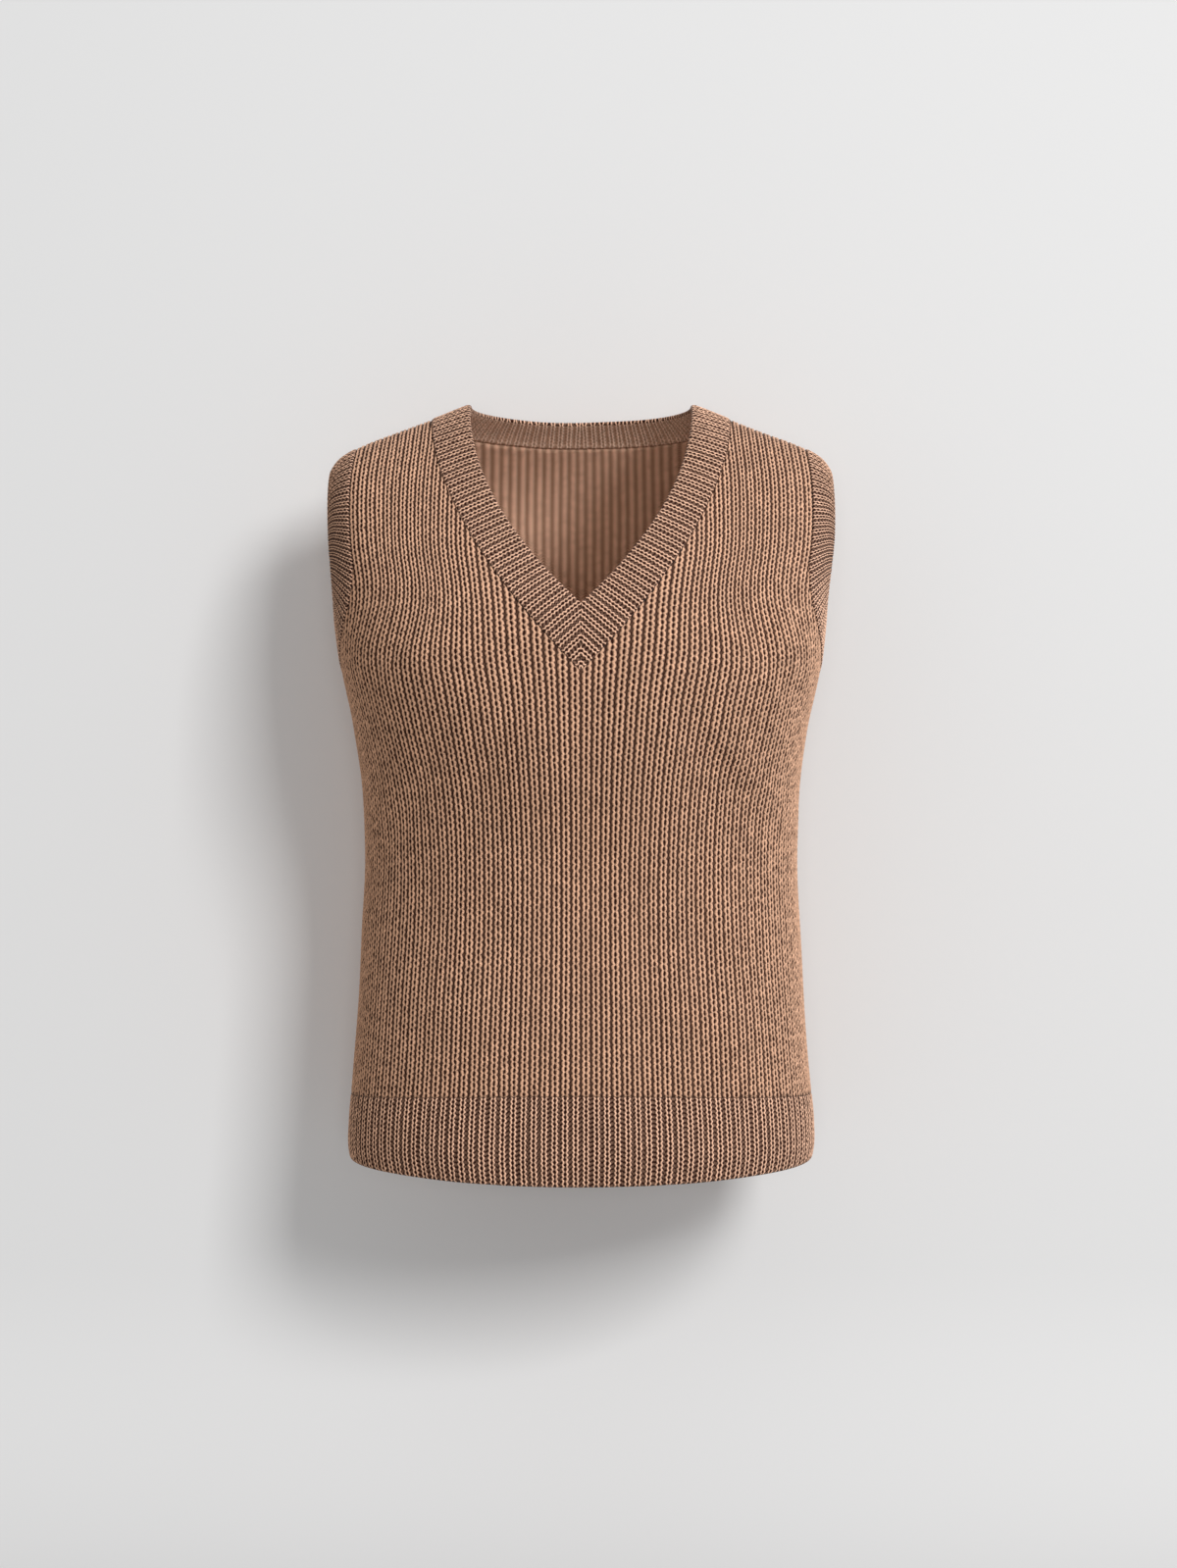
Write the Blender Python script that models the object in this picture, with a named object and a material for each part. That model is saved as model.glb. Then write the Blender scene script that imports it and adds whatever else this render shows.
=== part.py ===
"""Knitted V-neck sweater vest, filled out as when it is worn, with nobody inside.

Units are metres, +Z is up, the front faces -Y and the wearer's left side is at +X.
The origin is the middle of the neck opening, level with the high points of the shoulders.

Every piece is a wall of cloth on one shared form.  A point of the form is given by the
angle round the body, from 0 at the side to a quarter turn at the centre, and by the root
of its drop below the shoulder line, which rolls evenly over the top of the shoulder.
"""
import bpy
import numpy as np

# Cloth
WALL = 0.003                   # thickness of the chunky rib knit
SEAM_GAP = 0.0003              # clear space between two pieces at a seam
SEAM_SHIFT = 0.7 * SEAM_GAP    # how far a curved edge is held back from its seam line
BAND_LIFT = 0.0006             # neckband and armbands stand this much proud of the panels

# Heights below the high points of the shoulders
WELT_SEAM_FRONT = -0.494       # where the welt begins, at the centre
WELT_SEAM_SIDE = -0.501        # where the welt begins, at the side
HEM_CENTRE = -0.557
HEM_SIDE = -0.5485

# Neck: half widths on the shoulder line, heights on the centre line, and the bend of the V
NECK_SEAM_HALF = 0.108
NECK_EDGE_HALF = 0.080
CORNER_HEIGHT = -0.012         # where the half widths are measured
V_SEAM_TIP = -0.199
V_EDGE_TIP = -0.1515
V_SEAM_BEND = 1.72             # 1 is a straight V, 2 is a parabola
V_EDGE_BEND = 2.0
BACK_SEAM_HEIGHT = -0.0235
BACK_EDGE_HEIGHT = -0.0070

# Armholes: angle of the upright stretch, where it starts to turn, and the lowest point
ARM_SEAM_ANGLE = np.radians(38.7)
ARM_EDGE_ANGLE = np.radians(24.6)
ARM_SEAM_TURN = -0.120
ARM_EDGE_TURN = -0.115
ARM_SEAM_LOW = -0.199
ARM_EDGE_LOW = -0.172
ARM_ROUNDNESS = 1.55           # 1 is a pointed underarm, 2 is an ellipse
ARM_REACH = 0.184              # half width that turns a distance there into an angle

# How far below the shoulder line the chest and the back reach their full depth
FRONT_ROLL = 0.187
BACK_ROLL = 0.090
SHOULDER_DEPTH = 0.080         # depth of the form at the top of the shoulder
WAIST_DEPTH = 0.089            # least depth of the form

# Rings of the form.
# Columns: height, half width, front depth, back depth, front squareness, back squareness
RINGS = np.array((
    (0.020, 0.184, 0.080, 0.086, 3.1, 3.1),
    (-0.030, 0.186, 0.088, 0.092, 3.1, 3.1),
    (-0.060, 0.1875, 0.094, 0.097, 3.2, 3.2),
    (-0.084, 0.1873, 0.099, 0.101, 3.2, 3.2),
    (-0.117, 0.185, 0.108, 0.103, 3.1, 3.0),
    (-0.149, 0.179, 0.1185, 0.104, 2.9, 2.8),
    (-0.192, 0.173, 0.1260, 0.101, 2.8, 2.6),
    (-0.235, 0.165, 0.1240, 0.095, 2.45, 2.4),
    (-0.277, 0.1587, 0.116, 0.089, 2.2, 2.25),
    (-0.320, 0.1573, 0.107, 0.087, 2.15, 2.2),
    (-0.385, 0.159, 0.103, 0.094, 2.2, 2.2),
    (-0.440, 0.162, 0.105, 0.103, 2.3, 2.3),
    (-0.492, 0.1655, 0.108, 0.110, 2.3, 2.35),
    (-0.520, 0.1683, 0.1095, 0.112, 2.3, 2.35),
    (-0.538, 0.1688, 0.1100, 0.1125, 2.3, 2.35),
    (-0.556, 0.1655, 0.1075, 0.1100, 2.3, 2.35),
))

# Shoulder line, from the side to the centre.  Columns: angle round the form, height
SHOULDER_LINE = np.array((
    (np.radians(0.0), -0.080),
    (np.radians(19.9), -0.063),
    (np.radians(24.6), -0.0525),
    (np.radians(29.3), -0.0443),
    (np.radians(38.7), -0.0335),
    (np.radians(50.2), -0.0215),
    (np.radians(58.2), -0.0118),
    (np.radians(67.7), 0.0004),
    (np.radians(79.0), 0.0086),
    (np.radians(90.0), 0.0118),
))

# Mesh steps
SIDE_ROWS = 11                 # from the welt to the underarm
ARM_ROWS = 13                  # from the underarm to the shoulder
NECK_ROWS = 9                  # from the tip of the V to the shoulder
ALL_ROWS = SIDE_ROWS + ARM_ROWS
SHOULDER_COLUMNS = 5           # across one shoulder
NECK_COLUMNS = 9               # from the neck corner to the centre back
HALF_COLUMNS = SHOULDER_COLUMNS + NECK_COLUMNS
WELT_ROWS = 4
BAND_ROWS = 3
QUARTER = np.pi / 2
FRONT = 1
BACK = -1
NORMAL_STEP = 1e-4             # step of angle and root that a normal is measured over
WELD_DIGITS = 6                # points that agree to a micrometre are one point
SHARP_ANGLE = np.radians(50)   # edges that turn more are creases

# Yarn colours of the materials (linear)
BODY_COLOUR = (0.36, 0.20, 0.12, 1.0)
RIB_COLOUR = (0.34, 0.185, 0.11, 1.0)


def smooth(knots, values, at):
    """Cubic curve through the knots, with the slopes of the neighbouring chords."""
    slopes = np.gradient(values, knots)
    at = np.clip(at, knots[0], knots[-1])
    left = np.clip(np.searchsorted(knots, at) - 1, 0, len(knots) - 2)
    step = knots[left + 1] - knots[left]
    part = (at - knots[left]) / step
    rise = values[left + 1] - values[left]
    curve = (slopes[left] * step - rise) * (1 - part) - (slopes[left + 1] * step - rise) * part
    return values[left] + rise * part + part * (1 - part) * curve


def ring_value(z, column):
    """One column of RINGS at height z."""
    rising = RINGS[::-1]
    return smooth(rising[:, 0], rising[:, column], z)


def shoulder_height(angle):
    """Height of the shoulder line at an angle, the same on both sides of side and centre."""
    folded = np.arccos(np.clip(np.abs(np.cos(angle)), 0.0, 1.0))
    return smooth(SHOULDER_LINE[:, 0], SHOULDER_LINE[:, 1], folded)


def form(angle, root, face):
    """Point of the form: a squared ellipse at its height, drawn in to the shoulder line.

    x = half width * u and y = depth * v * roll, where |u|^n + |v|^n = 1 at the angle, and
    roll is a quarter circle in drop / reach, with drop = root * root.
    """
    z = shoulder_height(angle) - root * root
    half_width = ring_value(z, 1)
    depth = ring_value(z, 2 if face == FRONT else 3)
    square = ring_value(z, 4 if face == FRONT else 5)
    reach = FRONT_ROLL if face == FRONT else BACK_ROLL
    u = np.cos(angle)
    v = np.sin(angle)
    size = (np.abs(u) ** square + np.abs(v) ** square) ** (-1 / square)
    share = np.minimum(root * root / reach, 1.0)
    roll = np.sign(root) * np.sqrt(share * (2 - share))
    return np.stack((half_width * u * size, -face * depth * v * size * roll, z), axis=-1)


def outward(angle, root, face):
    """Unit normal of the form, from small steps round the body and over the shoulder."""
    step = NORMAL_STEP
    around = form(angle + step, root, face) - form(angle - step, root, face)
    down = form(angle, root + step, face) - form(angle, root - step, face)
    normal = face * np.cross(around, down)
    return normal / np.linalg.norm(normal, axis=-1, keepdims=True)


def angle_of(x, z, face):
    """Angle at which the ring of height z is at distance x from the centre."""
    square = ring_value(z, 4 if face == FRONT else 5)
    u = np.clip(x / ring_value(z, 1), 0.0, 1.0)
    v = (1 - u ** square) ** (1 / square)
    return np.arctan2(v, u)


def root_of(angle, z):
    """Root of the drop from the shoulder line to height z."""
    return np.sqrt(np.maximum(shoulder_height(angle) - z, 0.0))


def mix(start, end, share):
    """Straight blend of two values."""
    return start + (end - start) * share


def neck_front(half, tip, bend, face_in=0.0):
    """Angles and roots down one side of the V, from its tip up to the shoulder line."""
    half = half + face_in
    tip = tip - face_in
    corner = angle_of(half, CORNER_HEIGHT, FRONT)
    top = shoulder_height(corner)
    steps = np.linspace(0, 1, NECK_ROWS + 1)
    z = mix(tip, top, 1 - (1 - steps) ** 2)
    x = half * (1 - ((top - z) / (top - tip)) ** bend)
    angle = angle_of(x, z, FRONT)
    angle[-1] = corner
    angle[0] = QUARTER
    return angle, root_of(angle, z)


def neck_back(half, low, face_in=0.0):
    """Angles and roots round one side of the back neck, from the shoulder to the centre."""
    half = half + face_in
    low = low - face_in
    corner = angle_of(half, CORNER_HEIGHT, FRONT)
    top = shoulder_height(corner)
    steps = np.linspace(0, 1, NECK_COLUMNS + 1)
    turn = QUARTER * steps * (1 + steps) / 2
    z = mix(top, low, np.sin(turn))
    angle = angle_of(half * np.cos(turn), z, BACK)
    angle[0] = corner
    angle[-1] = QUARTER
    root = root_of(angle, z)
    root[0] = 0.0
    return angle, root


def armhole(upright, turn, low, face_in=0.0):
    """Angles and roots up one side of an armhole, from the underarm to the shoulder."""
    upright = upright + face_in / ARM_REACH
    low = low - face_in
    top = shoulder_height(upright)
    steps = np.linspace(0, 1, ARM_ROWS + 1)
    z = mix(low, top, (1 - np.cos(np.pi * steps)) / 2)
    below = np.clip((turn - z) / (turn - low), 0.0, 1.0)
    angle = upright * (1 - below ** ARM_ROUNDNESS) ** (1 / ARM_ROUNDNESS)
    return angle, root_of(angle, z)


def welt_seam(angle, shift):
    """Root along the seam between panel and welt, moved up or down by shift."""
    z = mix(WELT_SEAM_SIDE, WELT_SEAM_FRONT, np.sin(angle) ** 2) + shift
    return root_of(angle, z)


def hem_line(angle):
    """Root along the lower edge of the welt."""
    return root_of(angle, mix(HEM_SIDE, HEM_CENTRE, np.sin(angle) ** 2))


def side_angle():
    """Angle that keeps a piece half a seam gap away from the side seam's plane."""
    return SEAM_GAP / 2 / WAIST_DEPTH


def top_root():
    """Root that keeps a piece half a seam gap away from the shoulder seam's plane."""
    return SEAM_GAP * np.sqrt(FRONT_ROLL / 2) / SHOULDER_DEPTH


def height_of(angle, root):
    """Height of a point of the form."""
    return shoulder_height(angle) - root * root


def climb(start, line, rows):
    """Angles and heights of a border: straight up to where a seam line starts, then along it."""
    angle, root = line
    height = height_of(angle, root)
    lower = mix(start, height[0], np.linspace(0, 1, rows + 1)[:-1])
    return np.concatenate((np.full(rows, angle[0]), angle)), np.concatenate((lower, height))


def fill(side, centre, bottom, top):
    """Coons patch between four borders of angles and heights that share their corners."""
    across = np.linspace(0, 1, HALF_COLUMNS + 1)[:, None]
    rise = ((side[1] - side[1][0]) / (side[1][-1] - side[1][0]))[None, :]
    patch = []
    for part in (0, 1):
        ends = mix(side[part][None, :], centre[part][None, :], across)
        low = bottom[part][:, None] - mix(bottom[part][0], bottom[part][-1], across)
        high = top[part][:, None] - mix(top[part][0], top[part][-1], across)
        patch.append(ends + low * (1 - rise) + high * rise)
    angle, height = patch
    return [angle, np.maximum(root_of(angle, height), top_root())]


def panel_side():
    """Side seam from the welt to the underarm, then the armhole seam to the shoulder."""
    angle, root = armhole(ARM_SEAM_ANGLE, ARM_SEAM_TURN, ARM_SEAM_LOW, SEAM_SHIFT)
    root[-1] = top_root()
    line = np.maximum(angle, side_angle()), root
    return climb(height_of(side_angle(), welt_seam(side_angle(), SEAM_GAP / 2)), line, SIDE_ROWS)


def panel_bottom():
    """Lower border of a panel, from the side to the centre."""
    angle = np.linspace(side_angle(), QUARTER, HALF_COLUMNS + 1)
    return angle, height_of(angle, welt_seam(angle, SEAM_GAP / 2))


def front_patch():
    """Half of the front panel, with the V cut out."""
    side = panel_side()
    bottom = panel_bottom()
    angle, root = neck_front(NECK_SEAM_HALF, V_SEAM_TIP, V_SEAM_BEND, SEAM_SHIFT)
    root[-1] = top_root()
    centre = climb(bottom[1][-1], (angle, root), ALL_ROWS - NECK_ROWS)
    shoulder = np.linspace(side[0][-1], angle[-1], HALF_COLUMNS + 1)
    return fill(side, centre, bottom, (shoulder, height_of(shoulder, top_root())))


def back_patch():
    """Half of the back panel, up to the back neck."""
    side = panel_side()
    bottom = panel_bottom()
    neck, root = neck_back(NECK_SEAM_HALF, BACK_SEAM_HEIGHT, SEAM_SHIFT)
    shoulder = np.linspace(side[0][-1], neck[0], SHOULDER_COLUMNS + 1)[:-1]
    angle = np.concatenate((shoulder, neck))
    root = np.concatenate((np.zeros(SHOULDER_COLUMNS), root))
    top = (angle, height_of(angle, np.maximum(root, top_root())))
    rise = (side[1] - side[1][0]) / (side[1][-1] - side[1][0])
    centre = (np.full(ALL_ROWS + 1, QUARTER), mix(bottom[1][-1], top[1][-1], rise))
    return fill(side, centre, bottom, top)


def welt_patch():
    """Half of a welt, from the seam down to the hem."""
    angle = np.linspace(side_angle(), QUARTER, HALF_COLUMNS + 1)
    down = np.linspace(0, 1, WELT_ROWS + 1)[None, :]
    root = mix(welt_seam(angle, -SEAM_GAP / 2)[:, None], hem_line(angle)[:, None], down)
    return [np.repeat(angle[:, None], WELT_ROWS + 1, axis=1), root]


def band_patch(seam, edge):
    """Strip between a seam line and a free edge that have the same number of points."""
    out = np.linspace(0, 1, BAND_ROWS + 1)[None, :]
    return [mix(seam[part][:, None], edge[part][:, None], out) for part in (0, 1)]


def neckband_patches():
    """Half of the neckband: down the V in front, and round the back neck."""
    front = band_patch(neck_front(NECK_SEAM_HALF, V_SEAM_TIP, V_SEAM_BEND, -SEAM_SHIFT),
                       neck_front(NECK_EDGE_HALF, V_EDGE_TIP, V_EDGE_BEND))
    back = band_patch(neck_back(NECK_SEAM_HALF, BACK_SEAM_HEIGHT, -SEAM_SHIFT),
                      neck_back(NECK_EDGE_HALF, BACK_EDGE_HEIGHT))
    return front, back


def armband_patch():
    """One side of an armband, from the underarm to the shoulder."""
    return band_patch(armhole(ARM_SEAM_ANGLE, ARM_SEAM_TURN, ARM_SEAM_LOW, -SEAM_SHIFT),
                      armhole(ARM_EDGE_ANGLE, ARM_EDGE_TURN, ARM_EDGE_LOW))


def surface(patch, face, mirrored=False):
    """Points and normals of a patch on the front or the back, on the +X or the -X side."""
    flip = np.array((-1.0 if mirrored else 1.0, 1.0, 1.0))
    return form(*patch, face) * flip, outward(*patch, face) * flip


def weld(grids):
    """Join grids of points and normals into one sheet, merging the points they share."""
    points = np.concatenate([grid[0].reshape(-1, 3) for grid in grids])
    normals = np.concatenate([grid[1].reshape(-1, 3) for grid in grids])
    keys = np.round(points, WELD_DIGITS) + 0.0
    _, first, place = np.unique(keys, axis=0, return_index=True, return_inverse=True)
    place = place.reshape(-1)
    faces = []
    start = 0
    for grid, _ in grids:
        columns, rows = grid.shape[:2]
        index = place[start:start + columns * rows].reshape(columns, rows)
        start += columns * rows
        quads = np.stack((index[:-1, :-1], index[1:, :-1], index[1:, 1:], index[:-1, 1:]), -1)
        faces.extend(quads.reshape(-1, 4))
    return points[first], normals[first], np.array(faces)


def facing_out(points, normals, faces):
    """Turn each quad so that its corners run anticlockwise seen from outside."""
    corners = points[faces]
    across = np.cross(corners[:, 2] - corners[:, 0], corners[:, 3] - corners[:, 1])
    wrong = np.sum(across * normals[faces].mean(axis=1), axis=1) < 0
    faces = faces.copy()
    faces[wrong] = faces[wrong][:, ::-1]
    return faces


def make_wall(name, grids, material, lift=0.0):
    """Closed wall of cloth: the outer sheet, the inner sheet, and a rim on every border."""
    points, normals, faces = weld(grids)
    faces = facing_out(points, normals, faces)
    outer = points + normals * lift
    inner = outer - normals * WALL
    count = len(points)
    edges = np.stack((faces, np.roll(faces, -1, axis=1)), axis=-1).reshape(-1, 2)
    known = {tuple(edge) for edge in edges.tolist()}
    rim = [(b, a, a + count, b + count) for a, b in known if (b, a) not in known]
    walls = faces.tolist() + (faces[:, ::-1] + count).tolist() + sorted(rim)
    mesh = bpy.data.meshes.new(name)
    mesh.from_pydata(np.concatenate((outer, inner)).tolist(), [], walls)
    mesh.shade_smooth()
    mesh.set_sharp_from_angle(angle=SHARP_ANGLE)
    mesh.materials.append(material)
    piece = bpy.data.objects.new(name, mesh)
    bpy.context.scene.collection.objects.link(piece)
    return piece


def make_yarn(name, colour):
    """Matt cotton yarn."""
    material = bpy.data.materials.new(name)
    material.use_nodes = True
    shader = material.node_tree.nodes["Principled BSDF"]
    shader.inputs["Base Color"].default_value = colour
    shader.inputs["Roughness"].default_value = 0.9
    shader.inputs["Metallic"].default_value = 0.0
    return material


def both_sides(patch, face):
    """The +X and the -X half of a patch."""
    return [surface(patch, face), surface(patch, face, mirrored=True)]


def build():
    """Make the seven knitted pieces of the vest."""
    body = make_yarn("body_yarn", BODY_COLOUR)
    rib = make_yarn("rib_yarn", RIB_COLOUR)
    make_wall("front_panel", both_sides(front_patch(), FRONT), body)
    make_wall("back_panel", both_sides(back_patch(), BACK), body)
    make_wall("front_welt", both_sides(welt_patch(), FRONT), rib)
    make_wall("back_welt", both_sides(welt_patch(), BACK), rib)
    neck_v, neck_nape = neckband_patches()
    neck = both_sides(neck_v, FRONT) + both_sides(neck_nape, BACK)
    make_wall("neckband", neck, rib, BAND_LIFT)
    arm = armband_patch()
    for name, mirrored in (("armband_left", False), ("armband_right", True)):
        halves = [surface(arm, face, mirrored) for face in (FRONT, BACK)]
        make_wall(name, halves, rib, BAND_LIFT)


for old in list(bpy.data.objects):
    bpy.data.objects.remove(old)
build()
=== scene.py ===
"""Knitted V-neck sweater vest, filled out as when it is worn: the finished knit in its studio.

Units are metres, +Z is up, the front faces -Y and the wearer's left side is at +X.
Every piece of cloth lies on one shared form.  A point of the form is given by the angle
round the body, from 0 at the side to a quarter turn at the centre, and by the signed root
of its drop below the shoulder line: positive on the front, negative on the back.
"""

import bpy
import numpy as np
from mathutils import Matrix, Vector


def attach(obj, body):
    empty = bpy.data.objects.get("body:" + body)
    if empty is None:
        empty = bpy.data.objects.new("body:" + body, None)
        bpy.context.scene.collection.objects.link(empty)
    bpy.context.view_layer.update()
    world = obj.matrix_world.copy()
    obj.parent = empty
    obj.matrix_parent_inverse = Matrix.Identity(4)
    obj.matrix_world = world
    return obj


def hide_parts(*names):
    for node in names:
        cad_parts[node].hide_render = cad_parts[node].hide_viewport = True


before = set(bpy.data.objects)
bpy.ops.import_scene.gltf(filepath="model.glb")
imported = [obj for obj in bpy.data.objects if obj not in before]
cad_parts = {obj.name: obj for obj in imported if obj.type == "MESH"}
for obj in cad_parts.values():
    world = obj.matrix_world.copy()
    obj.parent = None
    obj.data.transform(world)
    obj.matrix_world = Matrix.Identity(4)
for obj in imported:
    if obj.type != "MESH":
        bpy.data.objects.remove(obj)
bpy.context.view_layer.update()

# Cloth
WALL = 0.003
SEAM_GAP = 0.0003
SEAM_SHIFT = SEAM_GAP * 0.7
SIDE_HALF_GAP = 0.00003        # half the gap of the side seams
SIDE_DEPTH = 0.116             # depth of the form where that gap is worked out
SIDE_ANGLE = SIDE_HALF_GAP / SIDE_DEPTH
SHOULDER_ROOT = 0.0005         # least root of a panel, which keeps front and back apart at the shoulder
BAND_LIFT = 0.0006

# Heights below the high points of the shoulders
WELT_SEAM_FRONT = -0.494
WELT_SEAM_SIDE = -0.501
HEM_CENTRE = -0.557
HEM_SIDE = -0.5485

# Neck: half widths on the shoulder line, heights on the centre line, bend of the V
NECK_SEAM_HALF = 0.108
NECK_EDGE_HALF = 0.080
CORNER_HEIGHT = -0.012
V_SEAM_TIP = -0.199
V_EDGE_TIP = -0.1515
V_SEAM_BEND = 1.72
V_EDGE_BEND = 2.0
BACK_SEAM_HEIGHT = -0.0235
BACK_EDGE_HEIGHT = -0.0070

# Armholes: angle of the upright stretch, where it starts to turn, and the lowest point
ARM_SEAM_ANGLE = np.radians(38.7)
ARM_EDGE_ANGLE = np.radians(24.6)
ARM_SEAM_TURN = -0.120
ARM_EDGE_TURN = -0.115
ARM_SEAM_LOW = -0.199
ARM_EDGE_LOW = -0.172
ARM_ROUNDNESS = 1.55

# How far below the shoulder line the chest and the back reach their full depth
FRONT_ROLL = 0.187
BACK_ROLL = 0.090

# Columns: height, half width, front depth, back depth, front squareness, back squareness
RINGS = np.array((
    (0.020, 0.184, 0.080, 0.086, 3.1, 3.1),
    (-0.030, 0.186, 0.088, 0.092, 3.1, 3.1),
    (-0.060, 0.1875, 0.094, 0.097, 3.2, 3.2),
    (-0.084, 0.1873, 0.099, 0.101, 3.2, 3.2),
    (-0.117, 0.185, 0.108, 0.103, 3.1, 3.0),
    (-0.149, 0.179, 0.1185, 0.104, 2.9, 2.8),
    (-0.192, 0.173, 0.1260, 0.101, 2.8, 2.6),
    (-0.235, 0.165, 0.1240, 0.095, 2.45, 2.4),
    (-0.277, 0.1587, 0.116, 0.089, 2.2, 2.25),
    (-0.320, 0.1573, 0.107, 0.087, 2.15, 2.2),
    (-0.385, 0.159, 0.103, 0.094, 2.2, 2.2),
    (-0.440, 0.162, 0.105, 0.103, 2.3, 2.3),
    (-0.492, 0.1655, 0.108, 0.110, 2.3, 2.35),
    (-0.520, 0.1683, 0.1095, 0.112, 2.3, 2.35),
    (-0.538, 0.1688, 0.1100, 0.1125, 2.3, 2.35),
    (-0.556, 0.1655, 0.1075, 0.1100, 2.3, 2.35),
))

# Shoulder line, from the side to the centre.  Columns: angle round the form, height
SHOULDER_LINE = np.array((
    (np.radians(0.0), -0.080),
    (np.radians(19.9), -0.063),
    (np.radians(24.6), -0.0525),
    (np.radians(29.3), -0.0443),
    (np.radians(38.7), -0.0335),
    (np.radians(50.2), -0.0215),
    (np.radians(58.2), -0.0118),
    (np.radians(67.7), 0.0004),
    (np.radians(79.0), 0.0086),
    (np.radians(90.0), 0.0118),
))

QUARTER = np.pi / 2
TURN = 2 * np.pi
FRONT = 1
BACK = -1

# Knit
HALF_RIBS = 31                 # ribs from the centre to the side seam, on each panel
RIB_COLUMNS = 6                # mesh columns in one rib of a panel
COURSE_ROWS = 2                # mesh rows in one course of a panel
ARM_RIB = 23                   # the rib groove that runs along the armhole seam
# Height, length of one course there
COURSE_LENGTH = np.array((
    (-0.505, 0.0039), (-0.455, 0.0041), (-0.400, 0.0045), (-0.300, 0.0046),
    (-0.240, 0.0044), (-0.160, 0.0042), (0.012, 0.0041),
))
# How the ribs fan out above the bust.  Columns: share from centre to side, front, back
FAN = np.array((
    (0.00, 0.000, 0.000), (0.13, 0.030, -0.024), (0.26, 0.046, -0.046), (0.39, 0.030, -0.060),
    (0.52, 0.000, -0.062), (0.65, -0.025, -0.050), (0.80, -0.030, -0.030), (1.00, 0.000, 0.000),
))
FAN_LOW = -0.225
FAN_HIGH = -0.100
RIB_TOP = 0.0125               # just above the highest point of the shoulder line
SEARCH_HEIGHTS = 520           # steps that look for a rib's meeting with the shoulder line
SEARCH_ROOTS = 700             # steps that look for its meeting with the neck or the armhole
PATH_STEPS = 420               # steps that measure its length in courses
PANEL_SLIP = 0.7               # courses by which a panel's ribs may be out of step
BAND_SLIP = 0.6                # the same for a band
SEAM_COURSES = 0.8             # courses over which the relief sinks towards a seam
SEAM_RELIEF = 0.35             # what is left of the loops at a seam


def smooth(knots, values, at):
    """Cubic curve through the knots, with the slopes of the neighbouring chords."""
    slopes = np.gradient(values, knots)
    at = np.clip(at, knots[0], knots[-1])
    left = np.clip(np.searchsorted(knots, at) - 1, 0, len(knots) - 2)
    step = knots[left + 1] - knots[left]
    part = (at - knots[left]) / step
    rise = values[left + 1] - values[left]
    curve = (slopes[left] * step - rise) * (1 - part) - (slopes[left + 1] * step - rise) * part
    return values[left] + rise * part + part * (1 - part) * curve


def ease(share):
    """Smooth step from 0 to 1."""
    share = np.clip(share, 0.0, 1.0)
    return share * share * (3 - 2 * share)


def mix(start, end, share):
    """Straight blend of two values."""
    return start + (end - start) * share


def ring_value(z, column):
    """One column of RINGS at height z."""
    rising = RINGS[::-1]
    return smooth(rising[:, 0], rising[:, column], z)


def shoulder_height(angle):
    """Height of the shoulder line at an angle, the same on both sides of side and centre."""
    folded = np.arccos(np.clip(np.abs(np.cos(angle)), 0.0, 1.0))
    return smooth(SHOULDER_LINE[:, 0], SHOULDER_LINE[:, 1], folded)


def ring_point(angle, z, face):
    """x and y of the ring of height z, a squared-off oval.

    Each of x over the half width and y over the depth is raised to the squareness, and the
    two add up to one.
    """
    square = ring_value(z, 4 if face == FRONT else 5)
    u = np.cos(angle)
    v = np.sin(angle)
    size = (np.abs(u) ** square + np.abs(v) ** square) ** (-1 / square)
    depth = ring_value(z, 2 if face == FRONT else 3)
    return ring_value(z, 1) * u * size, -face * depth * v * size


def form(angle, root, face):
    """Point of the form: the ring at its height, drawn in to the shoulder line.

    y is multiplied by a quarter circle in the drop over the roll's reach, and the drop is
    the square of the root.
    """
    z = shoulder_height(angle) - root * root
    x, y = ring_point(angle, z, face)
    share = np.minimum(root * root / (FRONT_ROLL if face == FRONT else BACK_ROLL), 1.0)
    return np.stack((x, y * np.sign(root) * np.sqrt(share * (2 - share)), z), axis=-1)


def outward(angle, root, face):
    """Unit normal of the form, from small steps round the body and over the shoulder."""
    step = 1e-4
    around = form(angle + step, root, face) - form(angle - step, root, face)
    down = form(angle, root + step, face) - form(angle, root - step, face)
    normal = face * np.cross(around, down)
    return normal / np.linalg.norm(normal, axis=-1, keepdims=True)


def on_both(rule, angle, root):
    """A rule of the form at signed roots: the front where positive, the back where negative."""
    front = rule(angle, np.maximum(root, 0.0), FRONT)
    back = rule(angle, np.maximum(-root, 0.0), BACK)
    return np.where((root >= 0)[..., None], front, back)


def angle_of(x, z, face):
    """Angle at which the ring of height z is at distance x from the centre."""
    square = ring_value(z, 4 if face == FRONT else 5)
    u = np.clip(x / ring_value(z, 1), 0.0, 1.0)
    return np.arctan2((1 - u ** square) ** (1 / square), u)


def root_of(angle, z):
    """Root of the drop from the shoulder line to height z."""
    return np.sqrt(np.maximum(shoulder_height(angle) - z, 0.0))


# ---- Rib columns ---------------------------------------------------------------------------

ARC_HEIGHTS = np.linspace(-0.560, 0.016, 145)
ARC_SHARES = np.linspace(0.0, 1.0, 241)
ARM_LINE_HEIGHTS = np.linspace(-0.22, 0.012, 60)


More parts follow.
